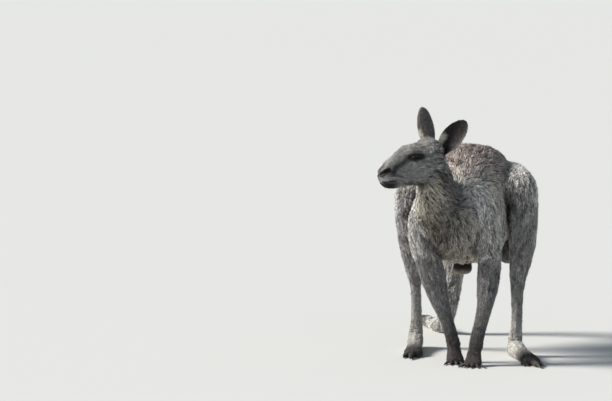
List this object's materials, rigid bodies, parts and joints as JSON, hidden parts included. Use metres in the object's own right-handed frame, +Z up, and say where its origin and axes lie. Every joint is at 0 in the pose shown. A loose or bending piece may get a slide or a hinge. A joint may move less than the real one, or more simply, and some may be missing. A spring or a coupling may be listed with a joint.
{
  "type": "eastern grey kangaroo",
  "caption": "Life-size still model of a male grey kangaroo resting on hands, hind feet and tail, with its head turned to the right.",
  "frame": {"origin": "centre of the bounding box, on the floor", "axes": "+Z up, the animal faces -Y, its left side is +X"},
  "size_m": [0.5442, 1.209, 0.8457],
  "materials": {
    "coat_back": "short dense fur, brownish grey, pale hair tips",
    "coat_belly": "softer fur, pale olive grey to cream",
    "coat_face": "very short fur, grey with darker muzzle streaks",
    "coat_limbs": "short flat fur, pale grey",
    "coat_paws": "very short dark brown to black fur and skin",
    "coat_ears": "thin dark brown fur, cream inside",
    "horn": "dark worn horn, satin",
    "eye": "wet gloss, dark brown"
  },
  "bodies": {
    "root": {"belly": "coat_back", "rump": "coat_back", "tail_base": "coat_back", "tail_middle": "coat_back", "tail_tip": "coat_back", "thigh_left": "coat_back", "thigh_right": "coat_back", "chest": "coat_belly", "neck": "coat_belly", "head": "coat_face", "upper_arm_left": "coat_limbs", "upper_arm_right": "coat_limbs", "forearm_left": "coat_limbs", "forearm_right": "coat_limbs", "shank_left": "coat_limbs", "shank_right": "coat_limbs", "hand_left": "coat_paws", "hand_right": "coat_paws", "foot_left": "coat_paws", "foot_right": "coat_paws", "scrotum": "coat_paws", "ear_left": "coat_ears", "ear_right": "coat_ears", "claw_hand_left_1": "horn", "claw_hand_left_2": "horn", "claw_hand_left_3": "horn", "claw_hand_left_4": "horn", "claw_hand_left_5": "horn", "claw_hand_right_1": "horn", "claw_hand_right_2": "horn", "claw_hand_right_3": "horn", "claw_hand_right_4": "horn", "claw_hand_right_5": "horn", "claw_foot_left_2": "horn", "claw_foot_left_3": "horn", "claw_foot_left_4": "horn", "claw_foot_left_5": "horn", "claw_foot_right_2": "horn", "claw_foot_right_3": "horn", "claw_foot_right_4": "horn", "claw_foot_right_5": "horn", "eye_left": "eye", "eye_right": "eye"}
  },
  "joints": []
}
